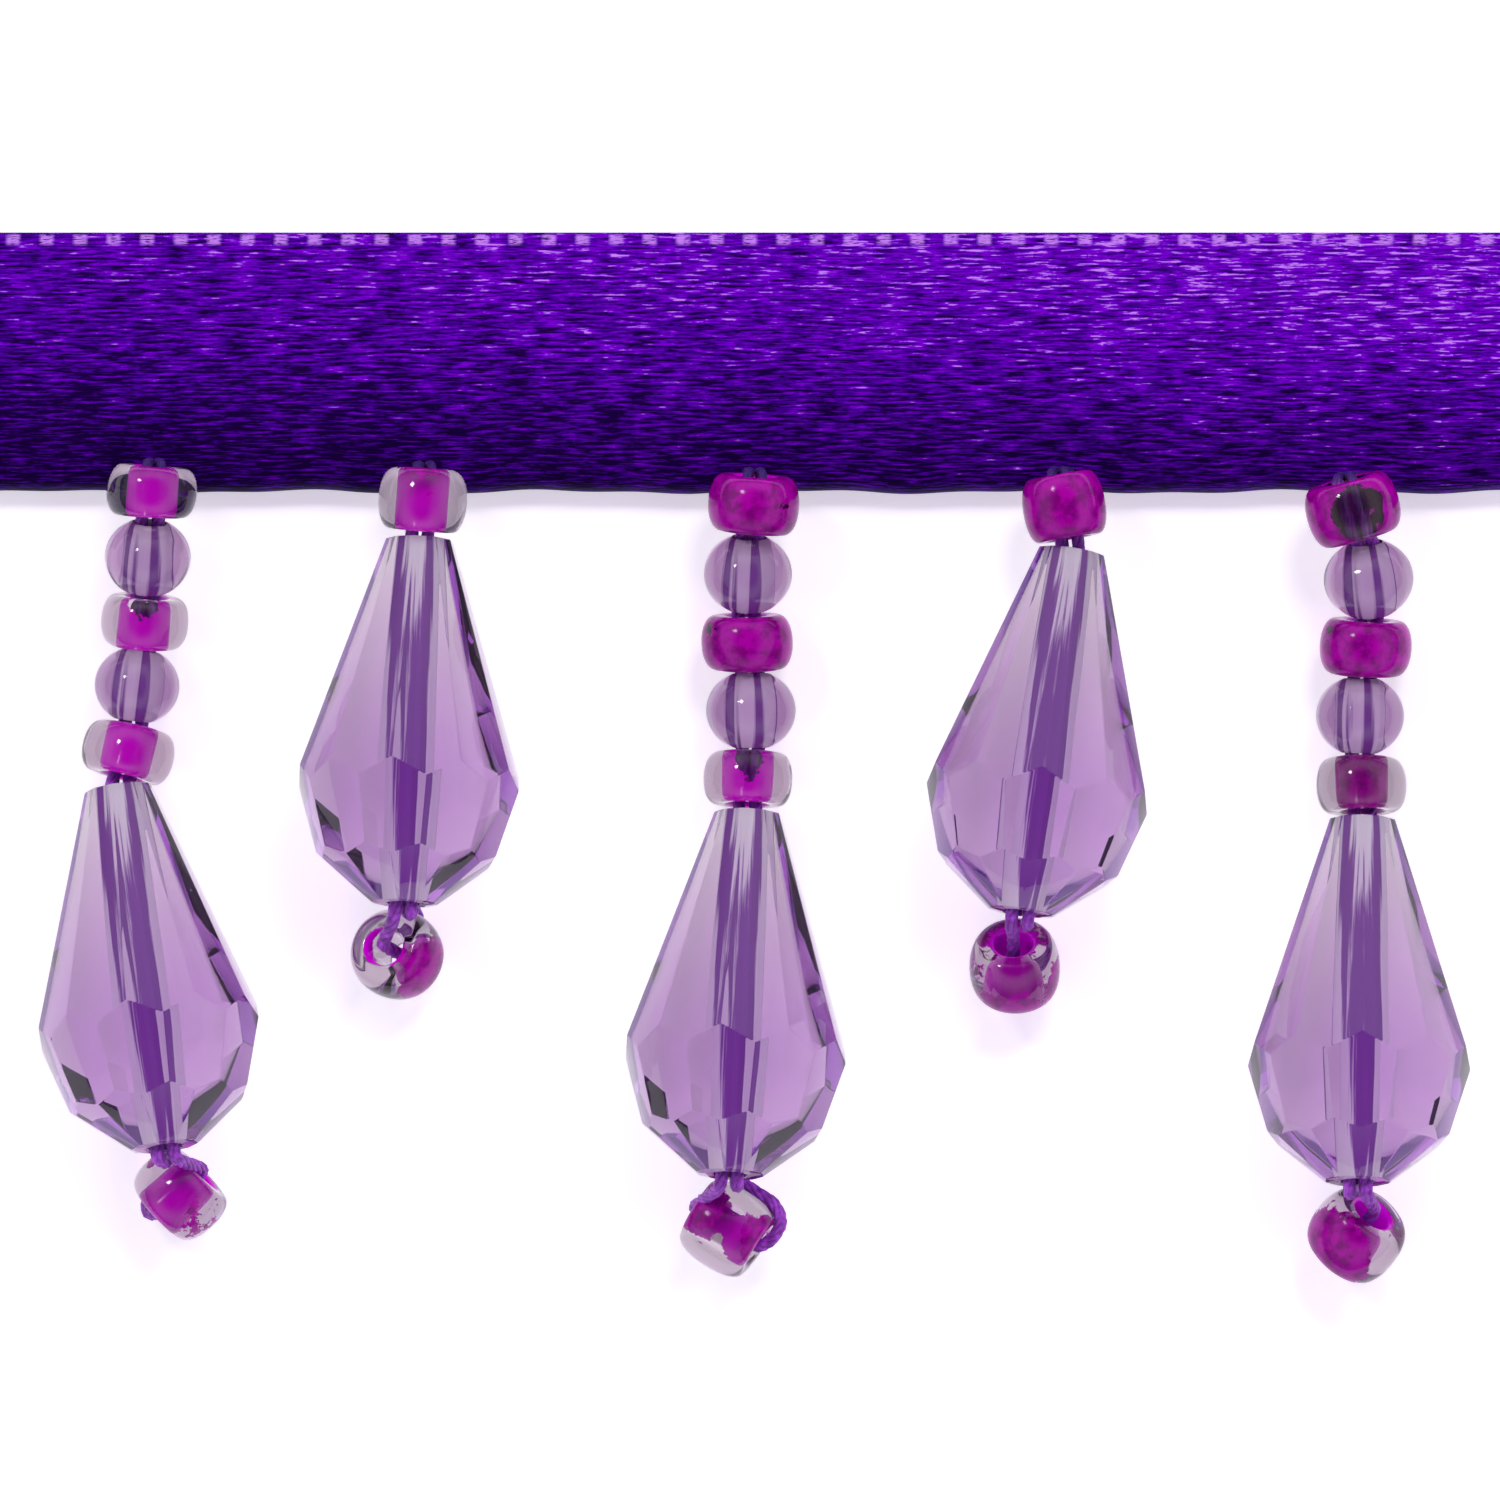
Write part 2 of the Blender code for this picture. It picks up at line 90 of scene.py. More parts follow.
BEADS = (
    Bead(1, 1, "seed", -27.6, -6.0, 3.9, 0, -10, 4.2, 2.35, 1.0, -1.0, (CAP,)),
    Bead(1, 2, "round", -27.83, -9.05, 3.2, 0, 0, 4.0, 3.3, 0, 0, ()),
    Bead(1, 3, "seed", -28.0, -12.0, 2.5, 0, 0, 4.1, 2.35, 0.8, -1.0, ((0, 0.3, 0.4, 0.45, -1.3),)),
    Bead(1, 4, "round", -28.35, -14.97, 2.35, 0, 0, 3.95, 3.25, 0, 0, ()),
    Bead(1, 5, "seed", -28.75, -18.05, 2.3, -3, 0, 4.3, 2.4, 1.0, -0.95, ((0.6, 0.5, 0.6, 0.4, 1.0),)),
    Bead(2, 1, "seed", -15.12, -6.4, 3.85, 0, -8, 4.15, 2.9, 0.9, -0.75, (CAP, (0.1, 0.3, 0.9, 0.5, 0.7))),
    Bead(3, 1, "seed", 0.14, -6.6, 3.75, 0, -8, 4.25, 2.7, 1.0, 0.8, ((0.75, 0.1, 0.7, 0.45, -0.8),)),
    Bead(3, 2, "round", -0.1, -9.8, 3.0, 0, 0, 4.1, 3.45, 0, 0, ()),
    Bead(3, 3, "seed", -0.14, -12.95, 2.4, 0, 0, 4.25, 2.55, 1.0, 0.75, ((-0.8, 0.3, 0.5, 0.5, -0.7),)),
    Bead(3, 4, "round", 0.05, -16.12, 2.35, 0, 0, 4.1, 3.45, 0, 0, ()),
    Bead(3, 5, "seed", -0.1, -19.3, 2.3, 0, 0, 4.1, 2.4, 0.8, -1.0, ((0.05, 0.35, 0.4, 0.4, -1.6),)),
    Bead(4, 1, "seed", 14.5, -6.7, 3.85, 0, -8, 3.85, 3.0, 1.0, 0.9, ()),
    Bead(5, 1, "seed", 27.85, -6.82, 3.8, 3, -8, 4.3, 2.8, -0.3, 0.7, ((0.1, -0.1, 1.0, 0.75, -2.2),)),
    Bead(5, 2, "round", 28.6, -10.05, 3.0, 0, 0, 4.1, 3.45, 0, 0, ()),
    Bead(5, 3, "seed", 28.45, -13.2, 2.4, 0, 0, 4.25, 2.55, 1.0, 0.8, ((-0.8, 0.3, 0.5, 0.45, -0.8),)),
    Bead(5, 4, "round", 28.22, -16.37, 2.35, 0, 0, 4.1, 3.45, 0, 0, ()),
    Bead(5, 5, "seed", 28.3, -19.57, 2.3, 0, 0, 4.2, 2.5, 1.1, -1.0, ()),
)
DROPS = (
    Drop(1, -29.2, -19.75, 2.96, 7.7, -11, 9.5),
    Drop(2, -15.26, -8.25, 3.6, -2.4, -8, 9.5),
    Drop(3, -0.09, -20.9, 2.96, -2.9, -11, 9.5),
    Drop(4, 14.85, -8.8, 3.6, -8.1, -8, 18.0),
    Drop(5, 28.3, -21.2, 2.98, -1.0, -11, 18.0),
)
STOPS = (
    Stop(
        1, -26.35, -38.45, 2.9, 43, 5, 4.3, 2.8, (-0.25, 0.3, -0.95), 0.55, -0.85,
        ((0.35, -0.45, 0.5, 0.8, 1.1), (-0.6, 0.75, 0.4, 0.35, 1.2)),
    ),
    Stop(
        2, -16.3, -27.35, 2.6, 150, 60, 4.15, 2.8, (0.25, 0.95, -0.35), -0.5, -1.0,
        ((0.7, -0.45, 0.4, 1.0, 2.9), (-0.45, 0.2, 0.7, 0.55, 2.6)),
    ),
    Stop(
        3, -1.05, -40.1, 2.9, 148, -8, 4.0, 3.4, (0.6, 0.85, 0.15), -0.4, -1.0,
        ((-0.5, 0.5, 0.5, 0.75, 2.8), (0.6, -0.2, 0.5, 0.75, 2.8)),
    ),
    Stop(
        4, 12.2, -27.95, 2.8, 92, 42, 4.2, 3.1, (0.25, 0.95, -0.35), 0.9, -0.25,
        ((0.0, -0.95, 0.2, 0.75, 1.6), (0.9, -0.2, 0.1, 0.6, 1.6), (0.0, -0.2, 0.9, 0.5, -0.9)),
    ),
    Stop(
        5, 28.0, -40.35, 2.9, 52, 30, 4.3, 3.0, (0.1, 0.9, -0.45), 0.8, -0.3,
        ((-0.6, -0.35, 0.5, 1.05, 2.0), (0.5, -0.5, 0.6, 0.6, -0.4)),
    ),
)


class FringeRibbon(bpy.types.PropertyGroup):
    """Satin ribbon folded lengthwise"""

    thickness: FloatProperty(
        name="Thickness",
        description="Thickness of one layer of satin",
        default=0.0003,
        unit="LENGTH",
    )
    columns: IntProperty(
        name="Columns", description="Divisions along the ribbon", default=260, min=20
    )
    rows: IntProperty(
        name="Rows", description="Divisions across each flat layer", default=34, min=8
    )
    float_length: FloatProperty(
        name="Float length",
        description="Length of one satin float",
        default=0.00085,
        unit="LENGTH",
    )
    thread_pitch: FloatProperty(
        name="Thread pitch",
        description="Distance from one satin thread to the next",
        default=0.000115,
        unit="LENGTH",
    )
    shade: FloatVectorProperty(
        name="Shade", description="Colour of the satin", subtype="COLOR",
        default=(0.068, 0.0003, 0.31), min=0.0, max=1.0,
    )
    # painted highlight: the colour painted on floats where they would catch the light
    glint: FloatVectorProperty(
        name="Glint", description="Colour of a float that catches the light", subtype="COLOR",
        default=(0.64, 0.26, 0.92), min=0.0, max=1.0,
    )


class FringeBeads(bpy.types.PropertyGroup):
    """Seed beads, round beads and drops"""

    around: IntProperty(
        name="Around", description="Divisions round a bead", default=64, min=12
    )
    edge: FloatProperty(
        name="Edge", description="Width of the soft edge of a facet",
        default=0.00007, unit="LENGTH",
    )
    glass: FloatVectorProperty(
        name="Glass", description="Tint of the clear glass", subtype="COLOR",
        default=(0.54, 0.47, 0.52), min=0.0, max=1.0,
    )
    colour: FloatVectorProperty(
        name="Coat colour", description="Colour of the beads' coat", subtype="COLOR",
        default=(0.40, 0.0, 0.33), min=0.0, max=1.0,
    )
    lining: FloatVectorProperty(
        name="Lining colour", description="Colour of the lining in a bead's bore",
        subtype="COLOR", default=(0.80, 0.0, 0.76), min=0.0, max=1.0,
    )
    round_tint: FloatVectorProperty(
        name="Round tint", description="Tint of the round acrylic beads", subtype="COLOR",
        default=(0.58, 0.53, 0.52), min=0.0, max=1.0,
    )
    bore_dark: FloatVectorProperty(
        name="Bore dark", description="Colour of the yarn along the bores", subtype="COLOR",
        default=(0.25, 0.045, 0.41), min=0.0, max=1.0,
    )
    bore_light: FloatVectorProperty(
        name="Bore light", description="Colour of the bores' wall beside the yarn",
        subtype="COLOR", default=(0.90, 0.85, 0.95), min=0.0, max=1.0,
    )
    drop_tint: FloatVectorProperty(
        name="Drop tint", description="Tint of the faceted drops", subtype="COLOR",
        default=(0.69, 0.735, 0.62), min=0.0, max=1.0,
    )


class FringeYarn(bpy.types.PropertyGroup):
    """Yarn that carries the beads"""

    filaments: IntProperty(
        name="Filaments", description="Filaments in one yarn", default=7, min=3
    )
    radius: FloatProperty(
        name="Radius", description="Radius of the twisted yarn",
        default=0.00032, unit="LENGTH",
    )
    twist: FloatProperty(
        name="Twist", description="Length of one turn of the twist",
        default=0.0034, unit="LENGTH",
    )
    shade: FloatVectorProperty(
        name="Shade", description="Colour of the yarn", subtype="COLOR",
        default=(0.20, 0.025, 0.31), min=0.0, max=1.0,
    )


class FringeStage(bpy.types.PropertyGroup):
    """Floor, lights and camera"""

    height: FloatProperty(
        name="Camera height", description="Height of the camera above the floor",
        default=1.2, unit="LENGTH",
    )
    span: FloatProperty(
        name="Span", description="Width of the floor that the camera sees",
        default=0.0695, unit="LENGTH",
    )
    tent: FloatProperty(
        name="Tent", description="Brightness of the light tent's wall", default=0.9, min=0.0
    )
    opening: FloatVectorProperty(
        name="Opening", description="Colour of the tent's opening round the camera",
        subtype="COLOR", default=(0.17, 0.05, 0.34), min=0.0, max=1.0,
    )
    foot: FloatVectorProperty(
        name="Foot", description="Colour of the tent's wall near the floor",
        subtype="COLOR", default=(0.42, 0.14, 0.85), min=0.0, max=1.0,
    )
    floor: FloatVectorProperty(
        name="Floor", description="Colour of the floor", subtype="COLOR",
        default=(0.93, 0.93, 0.93), min=0.0, max=1.0,
    )
    table: FloatProperty(
        name="Table light", description="Light that comes up through the floor",
        default=0.45, min=0.0,
    )


def keep(piece, slot, *nodes):
    """Puts a finished piece on the trim's body in place of its solids."""
    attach(piece, BODY)
    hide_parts(*nodes)


def clear_choice():
    bpy.ops.object.select_all(action="DESELECT")


def pick(piece):
    clear_choice()
    piece.select_set(True)
    bpy.context.view_layer.objects.active = piece


def settle(piece):
    """Takes a piece's place into its mesh."""
    pick(piece)
    bpy.ops.object.transform_apply(location=True, rotation=True, scale=True)


def apply_modifiers(piece):
    pick(piece)
    for modifier in list(piece.modifiers):
        bpy.ops.object.modifier_apply(modifier=modifier.name)


def new_material(name):
    material = bpy.data.materials.new(name)
    material.use_nodes = True
    return material, material.node_tree


def put(tree, kind, **settings):
    """A new node with its own settings."""
    added = tree.nodes.new(kind)
    for name, value in settings.items():
        setattr(added, name, value)
    return added


def feed(tree, socket, value):
    """Links an output to a socket, or sets a plain value on it."""
    if isinstance(value, bpy.types.NodeSocket):
        tree.links.new(value, socket)
    else:
        socket.default_value = value


def calc(tree, operation, *values):
    step = put(tree, "ShaderNodeMath", operation=operation)
    for place, value in enumerate(values):
        feed(tree, step.inputs[place], value)
    return step.outputs[0]


def blend_colours(tree, share, first, second):
    mix = put(tree, "ShaderNodeMix", data_type="RGBA")
    feed(tree, mix.inputs[0], share)
    feed(tree, mix.inputs[6], first)
    feed(tree, mix.inputs[7], second)
    return mix.outputs[2]


def ramp_between(tree, value, low, high):
    """0 below low and 1 above high, with a smooth step between."""
    step = put(tree, "ShaderNodeMapRange", interpolation_type="SMOOTHSTEP")
    feed(tree, step.inputs["Value"], value)
    step.inputs["From Min"].default_value = low
    step.inputs["From Max"].default_value = high
    return step.outputs["Result"]


def object_noise(tree, scale, detail=4.0, rough=0.6, stretch=None):
    """Noise in the piece's own space. scale is features per metre."""
    place = put(tree, "ShaderNodeTexCoord").outputs["Object"]
    if stretch:
        shift = put(tree, "ShaderNodeMapping")
        feed(tree, shift.inputs["Vector"], place)
        shift.inputs["Scale"].default_value = stretch
        place = shift.outputs["Vector"]
    cloud = put(tree, "ShaderNodeTexNoise")
    feed(tree, cloud.inputs["Vector"], place)
    cloud.inputs["Scale"].default_value = scale
    cloud.inputs["Detail"].default_value = detail
    cloud.inputs["Roughness"].default_value = rough
    return cloud.outputs["Fac"]


def bumped(tree, height, strength, distance):
    bump = put(tree, "ShaderNodeBump")
    feed(tree, bump.inputs["Height"], height)
    bump.inputs["Strength"].default_value = strength
    bump.inputs["Distance"].default_value = distance
    return bump.outputs["Normal"]


def tinted(colour):
    return (*colour, 1.0)


def clear_shader(tree, tint, index, gloss, clarity, normal=None):
    """Clear solid. What clarity lacks to 1 is a little milkiness of the moulded body."""
    shader = tree.nodes["Principled BSDF"]
    feed(tree, shader.inputs["Base Color"], tint)
    shader.inputs["Roughness"].default_value = gloss
    shader.inputs["IOR"].default_value = index
    shader.inputs["Transmission Weight"].default_value = clarity
    if normal is not None:
        feed(tree, shader.inputs["Normal"], normal)
    return shader.outputs[0]


def shadow_pass(tree, surface, tint):
    """Lets the light that makes shadows through a clear piece."""
    path = put(tree, "ShaderNodeLightPath")
    through = put(tree, "ShaderNodeBsdfTransparent")
    feed(tree, through.inputs["Color"], tint)
    either = put(tree, "ShaderNodeMixShader")
    feed(tree, either.inputs[0], path.outputs["Is Shadow Ray"])
    feed(tree, either.inputs[1], surface)
    feed(tree, either.inputs[2], through.outputs[0])
    return either.outputs[0]


def weighted(tree, *terms):
    """The sum of some outputs, each times its weight."""
    total = 0.0
    for output, weight in terms:
        total = calc(tree, "MULTIPLY_ADD", output, weight, total)
    return total


def noise_on(tree, place, scale, detail):
    """Noise on a piece's own map or attribute. scale is features per unit of it, on each axis."""
    shift = put(tree, "ShaderNodeMapping")
    feed(tree, shift.inputs["Vector"], place)
    shift.inputs["Scale"].default_value = scale
    cloud = put(tree, "ShaderNodeTexNoise")
    feed(tree, cloud.inputs["Vector"], shift.outputs["Vector"])
    cloud.inputs["Scale"].default_value = 1.0
    cloud.inputs["Detail"].default_value = detail
    return cloud.outputs["Fac"]


def satin_material():
    """Long crosswise floats in rows, with highlights painted on some of them, painted light towards the
    top selvedge and the right end, and painted shade towards the fold.
    """
    look = bpy.context.scene.fringe_ribbon
    material, tree = new_material("satin_weave")
    shader = tree.nodes["Principled BSDF"]
    cloth = put(tree, "ShaderNodeUVMap", uv_map="cloth").outputs[0]
    split = put(tree, "ShaderNodeSeparateXYZ")
    feed(tree, split.inputs[0], cloth)
    along, across = split.outputs[0], split.outputs[1]
    rows = calc(tree, "DIVIDE", across, look.thread_pitch * 100)
    row = calc(tree, "FLOOR", rows)
    start = put(tree, "ShaderNodeTexWhiteNoise", noise_dimensions="1D")
    feed(tree, start.inputs["W"], row)
    run = calc(tree, "DIVIDE", along, look.float_length * 100)
    run = calc(tree, "ADD", run, calc(tree, "MULTIPLY", start.outputs["Value"], 7.0))
    place = calc(tree, "FLOOR", run)
    cell = put(tree, "ShaderNodeCombineXYZ")
    feed(tree, cell.inputs[0], place)
    feed(tree, cell.inputs[1], row)
    chance = put(tree, "ShaderNodeTexWhiteNoise", noise_dimensions="2D")
    feed(tree, chance.inputs["Vector"], cell.outputs[0])
    luck = chance.outputs["Value"]
    drift = noise_on(tree, cloth, (3.2, 3.2, 1.0), 3.0)
    streak = noise_on(tree, cloth, (7.0, 78.0, 1.0), 2.0)
    fine = noise_on(tree, cloth, (26.0, 170.0, 1.0), 2.0)
    crown = calc(tree, "SINE", calc(tree, "MULTIPLY", calc(tree, "FRACT", run), math.pi))
    round_row = calc(tree, "SINE", calc(tree, "MULTIPLY", calc(tree, "FRACT", rows), math.pi))
    # painted light: the satin's tone is lifted towards the top selvedge, added to the random tone of the
    # floats
    lift = ramp_between(tree, across, 1.15, 0.0)
    float_tone_and_light = weighted(tree, (streak, 1.0), (fine, 0.35), (drift, 0.14), (luck, 0.08), (lift, 0.15))
    # painted light: lighter, with more highlights, towards the right end of the ribbon
    float_tone_and_light = calc(tree, "ADD", float_tone_and_light, calc(tree, "MULTIPLY", along, 0.016))
    # painted highlight: floats where the mixed noise and painted light run high get the glint colour
    # painted in
    painted_glint_share = calc(tree, "MULTIPLY", ramp_between(tree, float_tone_and_light, 1.05, 1.12), 0.95)
    # painted highlights: bright marks at even steps along the top selvedge, where its loops would catch
    # the light
    beat = calc(tree, "FRACT", calc(tree, "ADD", calc(tree, "DIVIDE", along, 0.155), 0.5))
    stitch = ramp_between(tree, calc(tree, "ABSOLUTE", calc(tree, "SUBTRACT", beat, 0.5)), 0.26, 0.12)
    near_edge = ramp_between(tree, across, 0.065, 0.045)
    in_edge = ramp_between(tree, across, 0.006, 0.014)
    picot_highlight = calc(tree, "MULTIPLY", calc(tree, "MULTIPLY", stitch, near_edge), in_edge)
    picot_highlight = calc(tree, "MULTIPLY", picot_highlight, ramp_between(tree, fine, 0.34, 0.52))
    painted_glint_share = calc(tree, "MAXIMUM", painted_glint_share, calc(tree, "MULTIPLY", picot_highlight, 0.9))
    deep = tuple(channel * 0.16 for channel in look.shade)
    vivid = (look.shade[0] * 2.9, look.shade[1] * 2.0, min(1.0, look.shade[2] * 2.0), 1.0)
    body = blend_colours(tree, ramp_between(tree, float_tone_and_light, 0.72, 0.88), tinted(deep), tinted(look.shade))
    body = blend_colours(tree, ramp_between(tree, float_tone_and_light, 0.87, 1.01), body, vivid)
    # painted shade: the satin's colour is darkened towards the fold at the lower edge
    shaded = ramp_between(tree, across, 1.28, 0.60)
    low = blend_colours(tree, 0.45, body, (0.0, 0.0, 0.0, 1.0))
    body = blend_colours(tree, shaded, low, body)
    # painted highlight: the glint colour is painted over the body colour
    colour = blend_colours(tree, painted_glint_share, body, tinted(look.glint))
    feed(tree, shader.inputs["Base Color"], colour)
    shader.inputs["Roughness"].default_value = 0.45
    shader.inputs["Specular IOR Level"].default_value = 0.05
    shader.inputs["Specular Tint"].default_value = (0.6, 0.25, 1.0, 1.0)
    height = weighted(tree, (round_row, 0.4), (crown, 0.2), (streak, 1.0))
    feed(tree, shader.inputs["Normal"], bumped(tree, height, 0.5, 0.00005))
    return material


def seed_material():
    """Clear glass with magenta where the bead's own colour attribute and chips leave it."""
    look = bpy.context.scene.fringe_beads
    material, tree = new_material("lined_seed_glass")
    clear = clear_shader(tree, tinted(look.glass), 1.5, 0.02, 1.0)
    clear = shadow_pass(tree, clear, (0.86, 0.80, 0.86, 1.0))
    amount = put(tree, "ShaderNodeAttribute", attribute_name="colour").outputs["Fac"]
    inside = put(tree, "ShaderNodeAttribute", attribute_name="bore").outputs["Fac"]
    chips = object_noise(tree, 1000.0, 6.0, 0.66)
    flakes = object_noise(tree, 3600.0, 3.0, 0.6)
    spread = weighted(tree, (chips, 2.4), (flakes, 0.9))
    edge = ramp_between(tree, calc(tree, "ADD", amount, calc(tree, "SUBTRACT", spread, 1.65)), -0.03, 0.05)
    coat = put(tree, "ShaderNodeBsdfPrincipled")
    mottle = object_noise(tree, 1500.0, 5.0, 0.62)
    dark = tuple(channel * 0.5 for channel in look.colour)
    shade = blend_colours(tree, ramp_between(tree, mottle, 0.35, 0.62), tinted(dark), tinted(look.colour))
    shade = blend_colours(tree, inside, shade, tinted(look.lining))
    feed(tree, coat.inputs["Base Color"], shade)
    coat.inputs["Roughness"].default_value = 0.12
    coat.inputs["Specular IOR Level"].default_value = 0.24
    feed(tree, coat.inputs["Normal"], bumped(tree, mottle, 0.12, 0.00006))
    mix = put(tree, "ShaderNodeMixShader")
    feed(tree, mix.inputs[0], edge)
    feed(tree, mix.inputs[1], clear)
    feed(tree, mix.inputs[2], coat.outputs[0])
    feed(tree, tree.nodes["Material Output"].inputs["Surface"], mix.outputs[0])
    return material


def acrylic_material(name, tint, shadow, gloss, grain, clarity, density):
    """Tinted acrylic with fine marks of its mould, more violet where light goes further in it."""
    material, tree = new_material(name)
    marks = object_noise(tree, 700.0, 3.0, 0.5)
    marks = bumped(tree, marks, grain, 0.0001)
    surface = clear_shader(tree, tinted(tint), 1.49, gloss, clarity, marks)
    surface = shadow_pass(tree, surface, shadow)
    feed(tree, tree.nodes["Material Output"].inputs["Surface"], surface)
    body = put(tree, "ShaderNodeVolumeAbsorption")
    body.inputs["Color"].default_value = (0.68, 0.15, 0.88, 1.0)
    body.inputs["Density"].default_value = density
    feed(tree, tree.nodes["Material Output"].inputs["Volume"], body.outputs[0])
    return material


def bore_material():
    """The bore's wall with the yarn's filaments pressed along it."""
    look = bpy.context.scene.fringe_beads
    material, tree = new_material("bore_with_yarn")
    shader = tree.nodes["Principled BSDF"]
    barrel = put(tree, "ShaderNodeAttribute", attribute_name="barrel").outputs["Vector"]
    strips = noise_on(tree, barrel, (1.15, 1.15, 0.05), 1.0)
    hairs = noise_on(tree, barrel, (6.0, 6.0, 0.2), 3.0)
    bare = ramp_between(tree, weighted(tree, (strips, 1.0), (hairs, 0.35)), 0.60, 0.68)
    colour = blend_colours(tree, bare, tinted(look.bore_dark), tinted(look.bore_light))
    feed(tree, shader.inputs["Base Color"], colour)
    shader.inputs["Roughness"].default_value = 0.5
    shader.inputs["Specular IOR Level"].default_value = 0.2
    return material


def line_bore(piece):
    """Keeps each point's place in the bead, and gives the bore's wall the second material."""
    kept = piece.data.attributes.new("barrel", "FLOAT_VECTOR", "POINT")
    for corner in piece.data.vertices:
        kept.data[corner.index].vector = corner.co / MM
    for face in piece.data.polygons:
        if face.center.xy.length < HOLE_RADIUS * 1.07 * MM and abs(face.normal.z) < 0.5:
            face.material_index = 1


def yarn_material():
    look = bpy.context.scene.fringe_yarn
    material, tree = new_material("filament_yarn")
    shader = tree.nodes["Principled BSDF"]
    streak = object_noise(tree, 2600.0, 4.0, 0.6)
    light = tuple(min(1.0, channel * 2.4 + 0.03) for channel in look.shade)
    colour = blend_colours(tree, ramp_between(tree, streak, 0.35, 0.75), tinted(look.shade), tinted(light))
    split = put(tree, "ShaderNodeSeparateXYZ")
    feed(tree, split.inputs[0], put(tree, "ShaderNodeTexCoord").outputs["Object"])
    # painted shade: the yarn is painted dark where it runs near and under the ribbon's fold
    painted_shade_near_ribbon = ramp_between(tree, split.outputs[1], -0.0062, -0.0052)
    colour = blend_colours(tree, painted_shade_near_ribbon, colour, (0.03, 0.0, 0.13, 1.0))
    feed(tree, shader.inputs["Base Color"], colour)
    shader.inputs["Roughness"].default_value = 0.55
    shader.inputs["Sheen Weight"].default_value = 0.1
    shader.inputs["Sheen Roughness"].default_value = 0.4
    shader.inputs["Sheen Tint"].default_value = (0.7, 0.5, 0.95, 1.0)
    feed(tree, shader.inputs["Normal"], bumped(tree, streak, 0.3, 0.00003))
    return material


def bore_axis(turn, pitch):
    """Unit vector along a bore, towards the bead's upper end."""
    swing = math.radians(turn)
    lift = math.radians(pitch)
    flat = math.cos(lift)
    return Vector((-math.sin(swing) * flat, math.cos(swing) * flat, math.sin(lift)))


def stop_axis(stop):
    bearing = math.radians(stop.bearing)
    rise = math.radians(stop.rise)
    flat = math.cos(rise)
    return Vector((math.cos(bearing) * flat, math.sin(bearing) * flat, math.sin(rise)))


def along(axis, centre):
    """Places a shape whose bore runs along Z, with Z towards the axis."""
    return Matrix.Translation(centre) @ axis.to_track_quat("Z", "Y").to_matrix().to_4x4()


def centre_of(bead):
    return Vector((bead.x, bead.y, bead.z))


def beads_of(strand):
    return [bead for bead in BEADS if bead.strand == strand]


def row_of(table, strand):
    return next(row for row in table if row.strand == strand)


def tilted(axis, turn, pitch):
    """The axis with its upper end swung left and lifted, in degrees."""
    swung = Matrix.Rotation(math.radians(turn), 3, "Z") @ axis
    level = swung.cross(Vector((0.0, 0.0, 1.0))).normalized()
    return (Matrix.Rotation(math.radians(pitch), 3, level) @ swung).normalized()


def bead_axes(strand):
    """Each bead of a strand with its bore's direction, which follows the yarn's run."""
    beads = beads_of(strand)
    run = [centre_of(bead) for bead in beads] + [centre_of(row_of(DROPS, strand))]
    axes = []
    for place, bead in enumerate(beads):
        above = run[max(place - 1, 0)]
        axes.append((bead, tilted((above - run[place + 1]).normalized(), bead.turn, bead.pitch)))
    return axes


def ribbon_section(steps):
    """Outer face of the fold as (y, z), from the front selvedge to the back one."""
    crest = LOWER_EDGE + FOLD_RADIUS
    section = []
    for place in range(steps):
        share = place / steps
        y = RIBBON_TOP + (crest - RIBBON_TOP) * share
        z = TOP_HEIGHT + (2 * FOLD_RADIUS - TOP_HEIGHT) * math.sin(share * math.pi / 2)
        section.append((y, z))
    turns = steps // 2
    for place in range(turns):
        angle = math.pi * place / turns
        section.append((crest - FOLD_RADIUS * math.sin(angle), FOLD_RADIUS * (1 + math.cos(angle))))
    for place in range(steps + 1):
        section.append((crest + (RIBBON_TOP - crest) * place / steps, 0.0))
    return section


def pressed_in(x, y):
    """How far the front layer is drawn in over the top bead of each strand."""
    depth = 0.0
    for bead in BEADS:
        if bead.place == 1:
            across = (x - bead.x) / 2.2
            down = (y - LOWER_EDGE - STITCH_UP) / 1.6
            depth += 0.3 * math.exp(-across * across - down * down)
    return depth


def edge_wave(x, y):
    """The fold's slight unevenness, fading out towards the straight selvedges."""
    near = max(0.0, 1 - (y - LOWER_EDGE) / 3)
    return 0.07 * near * (math.sin(x * 0.55 + 0.4) + 0.6 * math.sin(x * 1.27 + 1.9))


